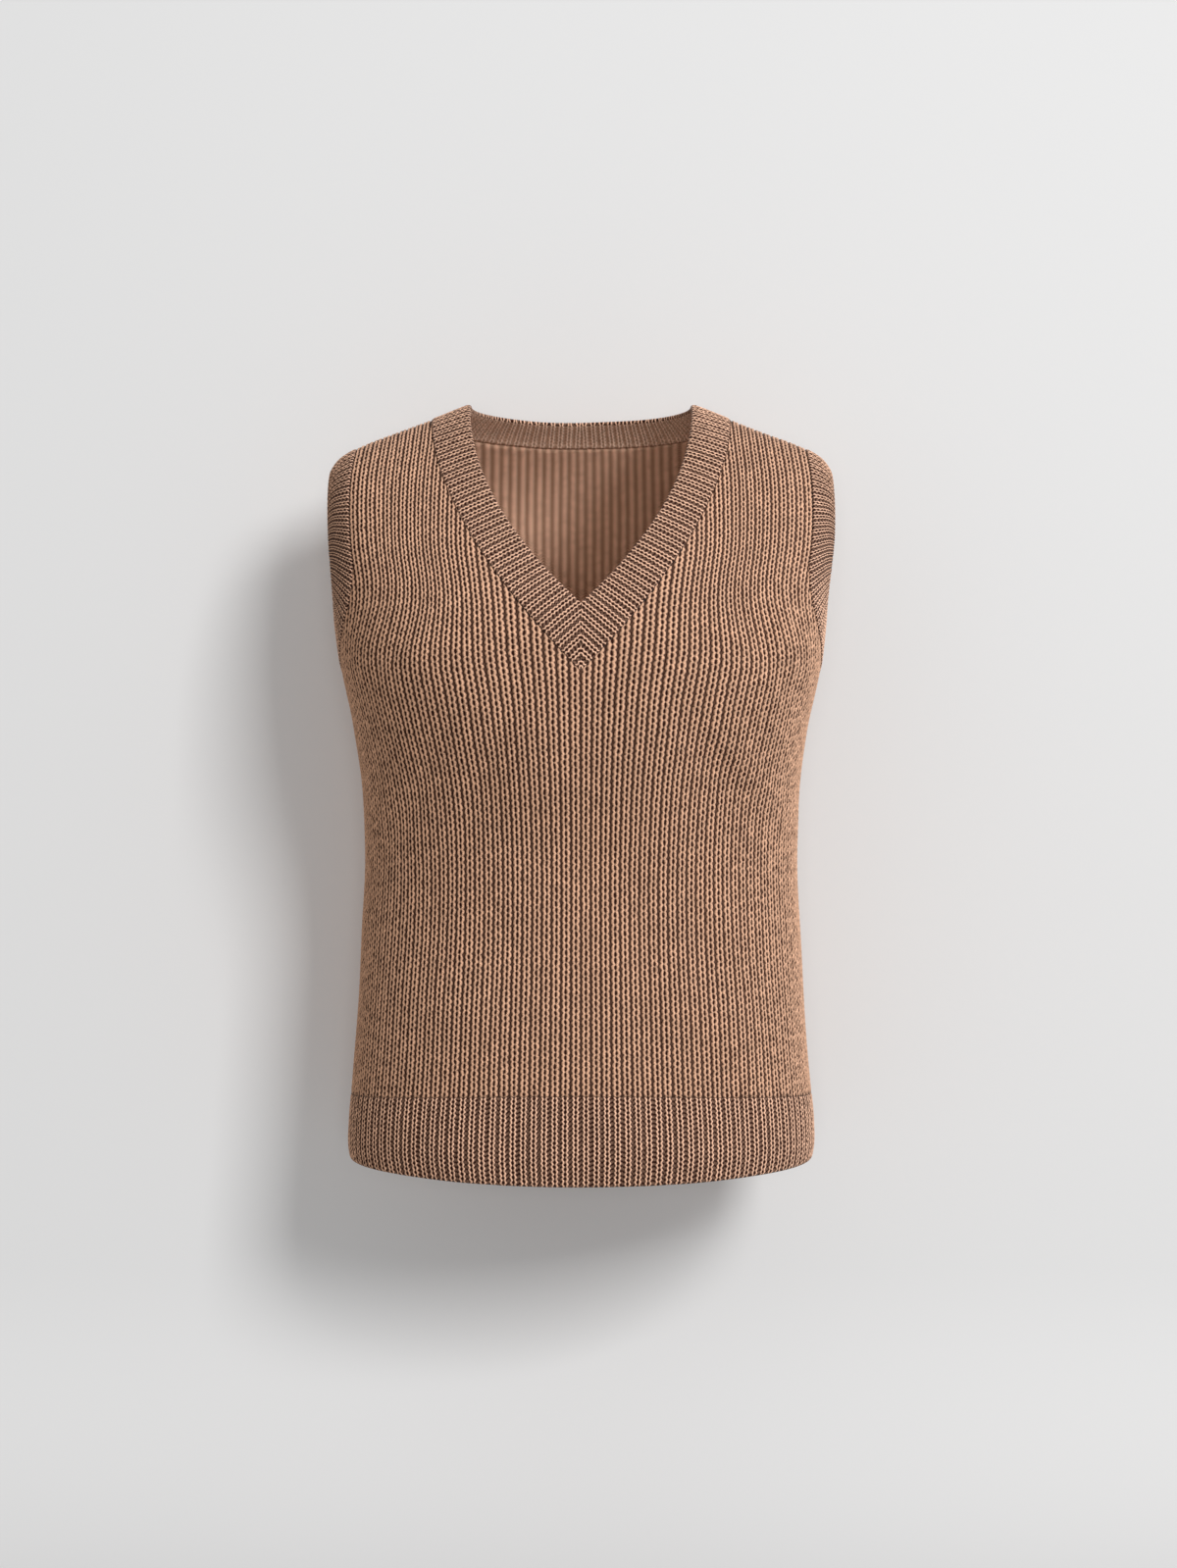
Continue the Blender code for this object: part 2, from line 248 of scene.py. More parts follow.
def arc_angles(face):
    """Table of the angle at every height and share of the ring's arc, from the centre to the side."""
    angle = np.linspace(QUARTER, 0.0, 361)[None, :]
    x, y = ring_point(angle, ARC_HEIGHTS[:, None], face)
    length = np.hypot(np.diff(x, axis=1), np.diff(y, axis=1)).cumsum(axis=1)
    share = np.hstack((np.zeros((len(x), 1)), length / length[:, -1:]))
    wanted = np.broadcast_to(ARC_SHARES, (len(x), len(ARC_SHARES)))
    return read_along(share, np.broadcast_to(angle, x.shape), wanted)


def read_along(keys, values, wanted):
    """Values at the wanted keys of each row, all rows at once: row n is moved n spans along."""
    wanted = np.clip(wanted, keys[:, :1], keys[:, -1:])
    place = np.arange(len(keys))[:, None] * (keys.max() - keys.min() + 1.0)
    return np.interp(wanted + place, (keys + place).ravel(), values.ravel())


ARC = {FRONT: arc_angles(FRONT), BACK: arc_angles(BACK)}


def angle_at(share, z, face):
    """Angle at a share of the arc of the ring of height z, read from the table."""
    table = ARC[face]
    row = np.clip((z - ARC_HEIGHTS[0]) / (ARC_HEIGHTS[1] - ARC_HEIGHTS[0]), 0, len(ARC_HEIGHTS) - 1.001)
    column = np.clip(share * (len(ARC_SHARES) - 1), 0, len(ARC_SHARES) - 1.001)
    i = row.astype(int)
    j = column.astype(int)
    low = mix(table[i, j], table[i, j + 1], column - j)
    high = mix(table[i + 1, j], table[i + 1, j + 1], column - j)
    return mix(low, high, row - i)


def share_at(angle, z, face):
    """Share of the arc at an angle of the ring of height z, by nearest table angles."""
    shares = np.broadcast_to(ARC_SHARES, (np.size(z), len(ARC_SHARES)))
    angles = angle_at(shares, np.reshape(z, (-1, 1)), face)
    return read_along(-angles, shares, np.full((np.size(z), 1), -angle)).reshape(np.shape(z))


def rib_angle(share, z, face):
    """Angle of the rib at a share of the half panel: even round the waist, fanned above the bust.

    The rib at the armhole seam is moved on to the seam above the armhole's turn, and the
    others give way to it in proportion.
    """
    lift = ease((z - FAN_LOW) / (FAN_HIGH - FAN_LOW))
    column = 1 if face == FRONT else 2
    spread = share + smooth(FAN[:, 0], FAN[:, column], share) * lift
    arm = ARM_RIB / HALF_RIBS
    line = share_at(ARM_SEAM_ANGLE + SEAM_SHIFT / RINGS[0, 1], ARM_LINE_HEIGHTS, face)
    fanned = smooth(FAN[:, 0], FAN[:, column], np.array(arm)) * lift
    want = np.interp(z, ARM_LINE_HEIGHTS, line) - arm - fanned
    pull = want * ease((z - ARM_SEAM_LOW) / (ARM_SEAM_TURN - ARM_SEAM_LOW))
    give = np.where(share < arm, share / arm, (1 - share) / (1 - arm))
    return angle_at(np.clip(spread + pull * ease(give), 0.0, 1.0), z, face)


def neck_height(x, face):
    """Height of the neck seam over x, without limit outside the neck."""
    half = NECK_SEAM_HALF + SEAM_SHIFT
    top = shoulder_height(angle_of(half, CORNER_HEIGHT, FRONT))
    inside = np.clip(1 - x / half, 0.0, 1.0)
    if face == FRONT:
        line = top - (top - V_SEAM_TIP + SEAM_SHIFT) * inside ** (1 / V_SEAM_BEND)
    else:
        line = mix(top, BACK_SEAM_HEIGHT - SEAM_SHIFT, np.sqrt(1 - (1 - inside) ** 2))
    return np.where(x < half, line, 1.0)


def arm_height(angle):
    """Height of the armhole seam over an angle, without limit inside the upright stretch."""
    upright = ARM_SEAM_ANGLE + SEAM_SHIFT / RINGS[0, 1]
    low = ARM_SEAM_LOW - SEAM_SHIFT
    below = (1 - np.clip(angle / upright, 0.0, 1.0) ** ARM_ROUNDNESS) ** (1 / ARM_ROUNDNESS)
    return np.where(angle < upright, ARM_SEAM_TURN - (ARM_SEAM_TURN - low) * below, 1.0)


def first_crossing(keys, gap):
    """Key at which each row's gap first falls to zero, or the row's last key."""
    closed = gap <= 0
    hit = np.where(closed.any(axis=1), closed.argmax(axis=1), gap.shape[1] - 1)
    row = np.arange(len(gap))
    before = np.maximum(hit - 1, 0)
    fall = gap[row, before] - gap[row, hit]
    part = np.where(closed[row, hit] & (fall > 0), gap[row, before] / np.where(fall > 0, fall, 1), 1.0)
    return mix(keys[row, before], keys[row, hit], np.clip(part, 0.0, 1.0))


def rib_columns(share, face):
    """Where each rib column meets the shoulder, and the roots of its drop at its foot and its top."""
    z = np.linspace(WELT_SEAM_SIDE, RIB_TOP, SEARCH_HEIGHTS)
    z = np.broadcast_to(z, (len(share), SEARCH_HEIGHTS))
    clear = shoulder_height(rib_angle(share[:, None], z, face)) - z
    peak = first_crossing(z, clear)
    foot_angle = rib_angle(share, np.full(len(share), WELT_SEAM_FRONT), face)
    foot = mix(WELT_SEAM_SIDE, WELT_SEAM_FRONT, np.sin(foot_angle) ** 2) + SEAM_GAP / 2
    start = np.sqrt(peak - foot)
    root = start[:, None] * np.linspace(1.0, 0.0, SEARCH_ROOTS)
    z = peak[:, None] - root ** 2
    angle = rib_angle(share[:, None], z, face)
    x, _ = ring_point(angle, z, face)
    gap = neck_height(x, face) - z
    outer = np.broadcast_to((share > ARM_RIB / HALF_RIBS + 1e-6)[:, None], gap.shape)
    gap = np.minimum(gap, np.where(outer, arm_height(angle) - z, 1.0))
    return peak, start, first_crossing(root, gap)


# ---- Drape and relief ----------------------------------------------------------------------

# Soft folds.  Columns: x, z, half width, half height, lean, depth; the front, then the back
FOLDS = {
    FRONT: np.array((
        (-0.062, -0.262, 0.014, 0.050, 0.35, -0.0022),
        (0.085, -0.250, 0.016, 0.040, -0.55, -0.0022),
        (0.118, -0.268, 0.012, 0.030, -0.80, 0.0016),
        (0.000, -0.300, 0.020, 0.090, 0.05, -0.0015),
        (0.045, -0.400, 0.014, 0.080, -0.08, -0.0014),
        (-0.085, -0.385, 0.016, 0.070, 0.12, 0.0014),
        (-0.020, -0.440, 0.012, 0.060, 0.04, 0.0012),
        (0.110, -0.430, 0.014, 0.060, -0.15, 0.0016),
        (-0.125, -0.300, 0.013, 0.045, 0.50, -0.0016),
        (-0.130, -0.180, 0.012, 0.035, 0.60, -0.0018),
        (0.132, -0.185, 0.012, 0.040, -0.55, -0.0020),
        (-0.140, -0.090, 0.010, 0.035, 0.10, -0.0012),
        (0.075, -0.520, 0.010, 0.030, 0.05, 0.0012),
        (-0.055, -0.520, 0.012, 0.030, -0.05, -0.0012),
    )),
    BACK: np.array((
        (0.000, -0.290, 0.018, 0.090, 0.00, -0.0024),
        (-0.060, -0.300, 0.014, 0.060, -0.30, 0.0018),
        (0.064, -0.285, 0.014, 0.065, 0.30, 0.0016),
        (-0.110, -0.250, 0.013, 0.045, -0.60, -0.0020),
        (0.115, -0.262, 0.013, 0.045, 0.60, -0.0020),
        (0.035, -0.410, 0.014, 0.070, 0.08, 0.0014),
        (-0.045, -0.430, 0.014, 0.070, -0.06, -0.0014),
        (0.100, -0.440, 0.014, 0.060, 0.15, -0.0014),
        (-0.130, -0.160, 0.012, 0.040, -0.50, -0.0016),
        (0.132, -0.150, 0.012, 0.040, 0.50, -0.0018),
        (-0.070, -0.520, 0.012, 0.030, 0.05, 0.0012),
        (0.050, -0.525, 0.012, 0.030, -0.05, -0.0012),
    )),
}


def fold_depth(points):
    """Sum of soft troughs and swells: each a bell across its leaning line and along it."""
    x, y, z = np.moveaxis(points, -1, 0)
    total = np.zeros(x.shape)
    for face in (FRONT, BACK):
        here = ease(0.5 - face * y / 0.05)
        for fx, fz, wide, tall, lean, depth in FOLDS[face]:
            along = z - fz
            across = x - fx - lean * along
            total += here * depth * np.exp(-(across / wide) ** 2 - (along / tall) ** 2)
    waver = 0.0006 * np.sin(x * 61 + z * 23) * np.sin(z * 37 - x * 19 + 1.3)
    return total + waver


def strand(offset, width):
    """Round top of a strand of yarn: the upper half of a circle, one high at offset nought."""
    return np.sqrt(np.clip(1 - (offset / width) ** 2, 0.0, 1.0))


def loop_relief(u, v):
    """Height of the chunky rib's loops: two legs that bulge round a hole and then pinch."""
    side = np.abs(u - np.floor(u) - 0.5)
    leg = 0.215 - 0.052 * np.cos(TURN * v)
    return -0.0010 + 0.0016 * strand(side - leg, 0.22)


def reverse_relief(u, v):
    """Height of the broad soft ribs on the wrong side."""
    return 0.0007 * np.cos(TURN * u) + 0.0001 * np.cos(TURN * v)


def fine_relief(u, v):
    """Height of the fine rib: a pair of strands side by side, then a channel."""
    side = np.abs(u - np.floor(u) - 0.5)
    leg = 0.198 + 0.050 * np.cos(TURN * v)
    return -0.0007 + 0.0010 * strand(side - leg, 0.17)


# ---- Mesh helpers --------------------------------------------------------------------------

def rib_starts(count, seed, reach):
    """How far each rib's courses are out of step with the next rib's."""
    return (np.random.default_rng(seed).random(count) - 0.5) * reach


def put_mesh(name, points, quads, triangles, stitches, materials, flags):
    """A mesh object from arrays, turned to face outwards if its signed volume is negative."""
    corners = np.concatenate((quads[:, :3], quads[:, (0, 2, 3)], triangles))
    a, b, c = np.moveaxis(points[corners], 1, 0)
    if np.sum(a * np.cross(b, c)) < 0:
        uv_quads = stitches[:len(quads) * 4].reshape(-1, 4, 2)[:, ::-1]
        uv_triangles = stitches[len(quads) * 4:].reshape(-1, 3, 2)[:, ::-1]
        stitches = np.concatenate((uv_quads.reshape(-1, 2), uv_triangles.reshape(-1, 2)))
        quads = quads[:, ::-1]
        triangles = triangles[:, ::-1]
    loops = np.concatenate((quads.ravel(), triangles.ravel())).astype(np.int32)
    sizes = np.concatenate((np.full(len(quads), 4), np.full(len(triangles), 3))).astype(np.int32)
    mesh = bpy.data.meshes.new(name)
    mesh.vertices.add(len(points))
    mesh.vertices.foreach_set("co", points.astype(np.float32).ravel())
    mesh.loops.add(len(loops))
    mesh.loops.foreach_set("vertex_index", loops)
    mesh.polygons.add(len(sizes))
    starts = np.concatenate(((0,), sizes.cumsum()[:-1])).astype(np.int32)
    mesh.polygons.foreach_set("loop_start", starts)
    for material in materials:
        mesh.materials.append(material)
    mesh.polygons.foreach_set("material_index", flags[0].astype(np.int32))
    mesh.polygons.foreach_set("use_smooth", flags[1].astype(bool))
    layer = mesh.uv_layers.new(name="stitches")
    layer.uv.foreach_set("vector", stitches.astype(np.float32).ravel())
    mesh.update(calc_edges=True)
    mesh.validate()
    piece = bpy.data.objects.new(name, mesh)
    bpy.context.scene.collection.objects.link(piece)
    return piece


def zipper(keys_a, ids_a, keys_b, ids_b):
    """Triangles between two chains whose keys rise together from end to end.

    Each link of a chain is joined to the point that the other chain has reached by then.
    """
    reach = np.clip(np.searchsorted(keys_b, keys_a[1:], side="left") - 1, 0, len(ids_b) - 1)
    reach = np.where(keys_a[1:] <= keys_b[0], 0, reach)
    first = np.stack((ids_a[:-1], ids_a[1:], ids_b[reach]), axis=1)
    reach = np.clip(np.searchsorted(keys_a, keys_b[1:], side="right") - 1, 0, len(ids_a) - 1)
    second = np.stack((ids_b[1:], ids_b[:-1], ids_a[reach]), axis=1)
    return np.concatenate((first, second))


def trimmed_faces(index, tops):
    """Quads where two neighbouring columns both have the row, and fans up to the longer one."""
    rows = np.arange(index.shape[1] - 1)[None, :]
    left = tops[:-1, None]
    right = tops[1:, None]
    both = rows < np.minimum(left, right)
    quads = np.stack((index[:-1, :-1], index[1:, :-1], index[1:, 1:], index[:-1, 1:]), -1)[both]
    column, row = np.nonzero((rows >= left) & (rows < right))
    rising = np.stack(
        (index[column, tops[column]], index[column + 1, row], index[column + 1, row + 1]), -1)
    rise_column = column
    column, row = np.nonzero((rows >= right) & (rows < left))
    falling = np.stack(
        (index[column, row], index[column + 1, tops[column + 1]], index[column, row + 1]), -1)
    quad_column = np.nonzero(both)[0]
    return quads, np.concatenate((rising, falling)), quad_column, np.concatenate((rise_column, column))


def make_panel(name, face, materials, seed):
    """A knitted panel: columns along the ribs, rows along the courses, trimmed at the seams."""
    count = 2 * HALF_RIBS * RIB_COLUMNS
    rib = np.arange(count + 1) / RIB_COLUMNS - HALF_RIBS
    share = np.abs(rib) / HALF_RIBS
    sign = np.where(rib < 0, -1.0, 1.0)
    peak, start, cut = rib_columns(share, face)
    cut = np.maximum(cut, SHOULDER_ROOT)
    root = mix(start[:, None], cut[:, None], np.linspace(0.0, 1.0, PATH_STEPS))
    z = peak[:, None] - root ** 2
    angle = np.maximum(rib_angle(share[:, None], z, face), SIDE_ANGLE)
    path = form(angle, root_of(angle, z), face)
    pace = smooth(COURSE_LENGTH[:, 0], COURSE_LENGTH[:, 1], (z[:, 1:] + z[:, :-1]) / 2)
    courses = (np.linalg.norm(np.diff(path, axis=1), axis=-1) / pace).cumsum(axis=1)
    courses = np.hstack((np.zeros((len(share), 1)), courses))
    out_of_step = rib_starts(2 * HALF_RIBS, seed, PANEL_SLIP)
    rib_of = np.clip(np.floor(rib + HALF_RIBS).astype(int), 0, 2 * HALF_RIBS - 1)
    rib_before = np.clip(np.ceil(rib + HALF_RIBS).astype(int) - 1, 0, 2 * HALF_RIBS - 1)
    slip = (out_of_step[rib_of] + out_of_step[rib_before]) / 2
    end = courses[:, -1]
    shells = []
    for coarse in (1, 2):
        columns = np.arange(0, count + 1, coarse)
        step = COURSE_ROWS // coarse
        tops = np.maximum(np.ceil((end + slip)[columns] * step - 0.3).astype(int), 1)
        level = np.arange(tops.max() + 1)[None, :] / step - slip[columns, None]
        level[:, 0] = 0.0
        level = np.clip(level, 0.0, end[columns, None])
        level[np.arange(len(columns)), tops] = end[columns]
        at = read_along(courses[columns], root[columns], level)
        high = peak[columns, None] - at ** 2
        turn = np.maximum(rib_angle(share[columns, None], high, face), SIDE_ANGLE)
        drop = root_of(turn, high)
        flip = np.stack((sign[columns], np.ones(len(columns)), np.ones(len(columns))), -1)[:, None, :]
        point = form(turn, drop, face) * flip
        normal = outward(turn, drop, face) * flip
        point = point + normal * fold_depth(point)[..., None]
        phase = level + slip[columns, None]
        near_top = ease((end[columns, None] - level) / SEAM_COURSES)
        near_foot = ease(level / SEAM_COURSES)
        tame = (near_top * near_foot)[..., None]
        if coarse == 1:
            relief = loop_relief(rib[columns, None] + HALF_RIBS, phase)[..., None]
            relief = relief * mix(SEAM_RELIEF, 1.0, tame)
            point = point + normal * relief
        else:
            relief = reverse_relief(rib[columns, None] + HALF_RIBS, phase)[..., None] * tame
            point = point - normal * (WALL + relief)
        shells.append((columns, tops, level, point))
    return stitch_shells(name, shells, rib, out_of_step, materials)


def stitch_shells(name, shells, rib, out_of_step, materials):
    """Join the right side and the coarser wrong side of a panel into one closed wall."""
    points = []
    quads = []
    triangles = []
    quad_uv = []
    triangle_uv = []
    quad_wrong = []
    triangle_wrong = []
    indices = []
    point_u = []
    point_v = []
    start = 0
    for wrong, (columns, tops, level, point) in enumerate(shells):
        live = np.arange(level.shape[1])[None, :] <= tops[:, None]
        index = np.full(level.shape, -1)
        index[live] = start + np.arange(live.sum())
        start += live.sum()
        points.append(point[live])
        point_u.append(np.broadcast_to(rib[columns, None] + HALF_RIBS, level.shape)[live])
        point_v.append(level[live])
        flat, fans, flat_column, fan_column = trimmed_faces(index, tops)
        where = np.stack(np.nonzero(live), -1)
        base = index[live].min()
        for faces, column, uvs in ((flat, flat_column, quad_uv), (fans, fan_column, triangle_uv)):
            cell = where[faces - base]
            mid = (rib[columns[column]] + rib[columns[column + 1]]) / 2 + HALF_RIBS
            shift = out_of_step[mid.astype(int)]
            u = rib[columns[cell[..., 0]]] + HALF_RIBS
            v = level[cell[..., 0], cell[..., 1]] + shift[:, None]
            uvs.append(np.stack((u, v), -1)[:, ::-1] if wrong else np.stack((u, v), -1))
        quads.append(flat[:, ::-1] if wrong else flat)
        triangles.append(fans[:, ::-1] if wrong else fans)
        quad_wrong.append(np.full(len(flat), wrong))
        triangle_wrong.append(np.full(len(fans), wrong))
        indices.append(index)
    rims = []
    (columns, tops, level, _), (rough, rough_tops, rough_level, _) = shells
    outer, inner = indices
    top_a = outer[np.arange(len(columns)), tops]
    top_b = inner[np.arange(len(rough)), rough_tops]
    rims.append(zipper(columns, top_a, rough, top_b))
    rims.append(zipper(columns, outer[:, 0], rough, inner[:, 0])[:, ::-1])
    for side in (0, -1):
        a = outer[side, :tops[side] + 1]
        b = inner[side, :rough_tops[side] + 1]
        chain = zipper(level[side, :len(a)], a, rough_level[side, :len(b)], b)
        rims.append(chain[:, ::-1] if side else chain)
    rims = np.concatenate(rims)
    triangles.append(rims)
    points = np.concatenate(points)
    triangle_uv.append(np.stack((np.concatenate(point_u)[rims], np.concatenate(point_v)[rims]), -1))
    triangle_wrong.append(np.full(len(rims), 1))
    quads = np.concatenate(quads)
    triangles = np.concatenate(triangles)
    uv = np.concatenate([np.concatenate(part).reshape(-1, 2) for part in (quad_uv, triangle_uv)])
    wrong = np.concatenate(quad_wrong + triangle_wrong)
    even = np.ones(len(wrong), bool)
    even[len(wrong) - len(rims):] = False
    return put_mesh(name, points, quads, triangles, uv, materials, (wrong, even))


# ---- Bands ---------------------------------------------------------------------------------

LEAST_WIDTH = 0.0005           # of a band, at the tip of its mitre
BAND_SWELL = 0.0003            # added to a band's relief
EDGE_FADE = 0.003              # the relief sinks over this width at the free edge
SEAM_FADE = 0.0016             # and over this width at the seam
CHAIN_PLACE = 0.0014           # the linking chain's distance from the seam
CHAIN_WIDTH = 0.0012
CHAIN_HEIGHT = 0.0009
# Mesh rows on the right side and on the wrong side
WELT_ROWS = (46, 18)
NECK_ROWS = (27, 14)
ARM_ROWS = (24, 12)
MITRE_STEPS = 160              # steps of the centre line that cuts off the neckband's ribs
BLUNT_STEPS = 8                # steps over which the plain cut turns into a rounded edge


def resample(line, count):
    """A line of angles and signed roots at even steps of its length on the form."""
    points = on_both(form, *line)
    length = np.concatenate(((0.0,), np.linalg.norm(np.diff(points, axis=0), axis=1).cumsum()))
    at = np.linspace(0.0, length[-1], count)
    return np.interp(at, length, line[0]), np.interp(at, length, line[1])


def neck_line(half, tip, bend, low, shift=0.0):
    """Half of a neck line: from the tip of the V over the shoulder to the centre back."""
    half = half + shift
    corner = angle_of(half, CORNER_HEIGHT, FRONT)
    top = shoulder_height(corner)
    steps = np.linspace(0.0, 1.0, 401)
    z = mix(tip - shift, top, 1 - (1 - steps) ** 2)
    x = half * (1 - ((top - z) / (top - tip + shift)) ** bend)
    angle = angle_of(x, z, FRONT)
    angle[0] = QUARTER
    angle[-1] = corner
    root = root_of(angle, z)
    root[-1] = 0.0
    turn = QUARTER * steps * (1 + steps) / 2
    z = mix(top, low - shift, np.sin(turn))
    back = angle_of(half * np.cos(turn), z, BACK)
    back[0] = corner
    back[-1] = QUARTER
    drop = -root_of(back, z)
    drop[0] = 0.0
    return np.concatenate((angle, back[1:])), np.concatenate((root, drop[1:]))


def arm_line(upright, turn, low, shift=0.0):
    """A whole arm line: from the underarm up the front, over the shoulder, down the back."""
    upright = upright + shift / RINGS[0, 1]
    low = low - shift
    steps = np.linspace(0.0, 1.0, 401)
    z = mix(low, shoulder_height(upright), (1 - np.cos(np.pi * steps)) / 2)
    below = np.clip((turn - z) / (turn - low), 0.0, 1.0)
    angle = upright * (1 - below ** ARM_ROUNDNESS) ** (1 / ARM_ROUNDNESS)
    root = root_of(angle, z)
    root[-1] = 0.0
    return np.concatenate((angle, angle[-2::-1])), np.concatenate((root, -root[-2::-1]))


def square_across(seam, ends):
    """For each point of the seam line, the point of the other line that lies square to it.

    That is the nearest place where the other line passes from behind the seam point to ahead
    of it, seen along the seam.
    """
    here = on_both(form, *seam)
    there = on_both(form, *ends)
    way = np.gradient(here, axis=0)
    way /= np.linalg.norm(way, axis=1, keepdims=True)
    ahead = ((there[None, :, :] - here[:, None, :]) * way[:, None, :]).sum(axis=2)
    away = np.linalg.norm(there[None, :, :] - here[:, None, :], axis=2)
    crossing = (ahead[:, :-1] <= 0) & (ahead[:, 1:] > 0)
    choice = np.where(crossing, away[:, :-1], 10.0).argmin(axis=1)
    row = np.arange(len(here))
    part = -ahead[row, choice] / np.maximum(ahead[row, choice + 1] - ahead[row, choice], 1e-9)
    place = choice + np.clip(part, 0.0, 1.0)
    place[~crossing.any(axis=1) & (row < len(row) // 2)] = 0
    place[~crossing.any(axis=1) & (row >= len(row) // 2)] = len(there) - 1
    place = np.maximum.accumulate(place)
    blur = np.ones(9) / 9
    inner = np.convolve(np.pad(place, 4, mode="edge"), blur, mode="valid")
    weight = np.minimum(np.minimum(row, row[::-1]) / 6, 1.0)
    place = mix(place, inner, weight)
    steps = np.arange(len(there))
    return (np.interp(place, steps, ends[0]), np.interp(place, steps, ends[1])), place


def lap_profile(rows, inner_rows, width, blunt):
    """Share of the width and depth round the wall of a band: right side, free edge, wrong side.

    The free edge is a half circle, flattened by blunt to a plain cut.
    """
    half = WALL / 2
    reach = (half * (1 - blunt))[:, None]
    wide = width[:, None]
    flat = np.linspace(0.0, 1.0, rows)[None, :] * (wide - reach) / wide
    bend = np.radians(np.array((30.0, 60.0, 90.0, 120.0, 150.0)))[None, :]
    lip = (wide - reach + reach * np.sin(bend)) / wide
    back = flat[:, -1:] * np.linspace(1.0, 0.0, inner_rows)[None, :]
    depth = np.concatenate((np.zeros(rows), -half + half * np.cos(bend[0]), np.full(inner_rows, -WALL)))
    return np.hstack((flat, lip, back)), depth[None, :]


def make_band(name, seam, edge, flip, rib, course, materials, closed, rows, seed, blunt=0.0, rope=0.0,
              lift=0.0):
    """A ribbed band: a flattened profile carried along the seam, with its free edge rounded.

    seam and edge are the angles and signed roots of both ends of each column, and rib its
    rib count.  rows are the mesh rows of the right and of the wrong side, and rope is the
    height of the linking chain on the wrong side.
    """
    outer_rows, inner_rows = rows
    width = np.linalg.norm(on_both(form, *edge) - on_both(form, *seam), axis=1)
    width = np.maximum(width, LEAST_WIDTH)
    blunt = np.broadcast_to(blunt, width.shape)
    share, depth = lap_profile(outer_rows, inner_rows, width, blunt)
    angle = mix(seam[0][:, None], edge[0][:, None], share)
    root = mix(seam[1][:, None], edge[1][:, None], share)
    turned = np.stack((flip, np.ones(len(flip)), np.ones(len(flip))), -1)[:, None, :]
    point = on_both(form, angle, root) * turned
    normal = on_both(outward, angle, root) * turned
    point = point + normal * fold_depth(point)[..., None]
    cells = np.clip(np.floor(rib + 1e-6), 0, None).astype(int)
    out_of_step = rib_starts(cells.max() + 1, seed, BAND_SLIP)
    level = share * width[:, None] / course
    relief = fine_relief(rib[:, None], level + out_of_step[cells][:, None]) + BAND_SWELL
    fade = mix(ease((1 - share) * width[:, None] / EDGE_FADE), 1.0, blunt[:, None])
    fade = fade * ease(share * width[:, None] / SEAM_FADE)
    rise = depth + lift + relief * fade * np.where(depth < -WALL / 2, -1.0, 1.0)
    chain = np.exp(-((share * width[:, None] - CHAIN_PLACE) / CHAIN_WIDTH) ** 2)
    chain = chain * (depth < -WALL * 0.99)
    rise = rise - rope * chain * (1 + 0.3 * np.cos(TURN * rib[:, None] * 2))
    point = point + normal * rise[..., None]
    columns, around = share.shape
    index = np.arange(columns * around).reshape(columns, around)
    end_rib = rib
    if closed:
        index = np.vstack((index, index[:1]))
        level = np.vstack((level, level[:1]))
        end_rib = np.append(rib, rib[-1] + rib[1] - rib[0])
    index = np.hstack((index, index[:, :1]))
    level = np.hstack((level, level[:, :1]))
    u = np.broadcast_to(end_rib[:, None], level.shape)
    shift = out_of_step[cells][:len(index) - 1, None, None]
    quads, corner_u, corner_v = (
        np.stack((grid[:-1, :-1], grid[1:, :-1], grid[1:, 1:], grid[:-1, 1:]), -1)
        for grid in (index, u, level))
    uv = np.stack((corner_u, corner_v + shift), -1).reshape(-1, 2)
    even = np.ones(quads.shape[:2], bool)
    even[:, -1] = False
    caps = np.zeros((0, 3), int)
    if not closed:
        outer = around - inner_rows
        for side in (0, -1):
            right = index[side, :outer]
            wrong = index[side, outer:around][::-1]
            cap = zipper(np.linspace(0, 1, len(right)), right, np.linspace(0, 1, len(wrong)), wrong)
            caps = np.concatenate((caps, cap[:, ::-1] if side else cap))
        uv = np.concatenate((uv, np.zeros((3 * len(caps), 2))))
    even = np.concatenate((even.ravel(), np.zeros(len(caps), bool)))
    wrong_side = np.zeros(quads.shape[:2])
    wrong_side[:, around - inner_rows:-1] = 1
    wrong_side = np.concatenate((wrong_side.ravel(), np.zeros(len(caps))))
    return put_mesh(name, point.reshape(-1, 3), quads.reshape(-1, 4), caps, uv, materials,
                    (wrong_side, even))


def make_welt(name, face, materials, seed):
    """A welt: the panel's ribs go on, finer, from the seam down to the hem."""
    count = 2 * HALF_RIBS * WELT_COLUMNS
    rib = np.arange(count + 1) / WELT_COLUMNS
    share = np.abs(rib / HALF_RIBS - 1)
    angle = np.maximum(rib_angle(share, np.full(len(share), WELT_SEAM_FRONT), face), SIDE_ANGLE)
    top = root_of(angle, mix(WELT_SEAM_SIDE, WELT_SEAM_FRONT, np.sin(angle) ** 2) - SEAM_GAP / 2)
    low = root_of(angle, mix(HEM_SIDE, HEM_CENTRE, np.sin(angle) ** 2))
    flip = np.where(rib < HALF_RIBS, -1.0, 1.0)
    return make_band(name, (angle, face * top), (angle, face * low), flip, rib, WELT_COURSE, materials,
                     False, WELT_ROWS, seed)


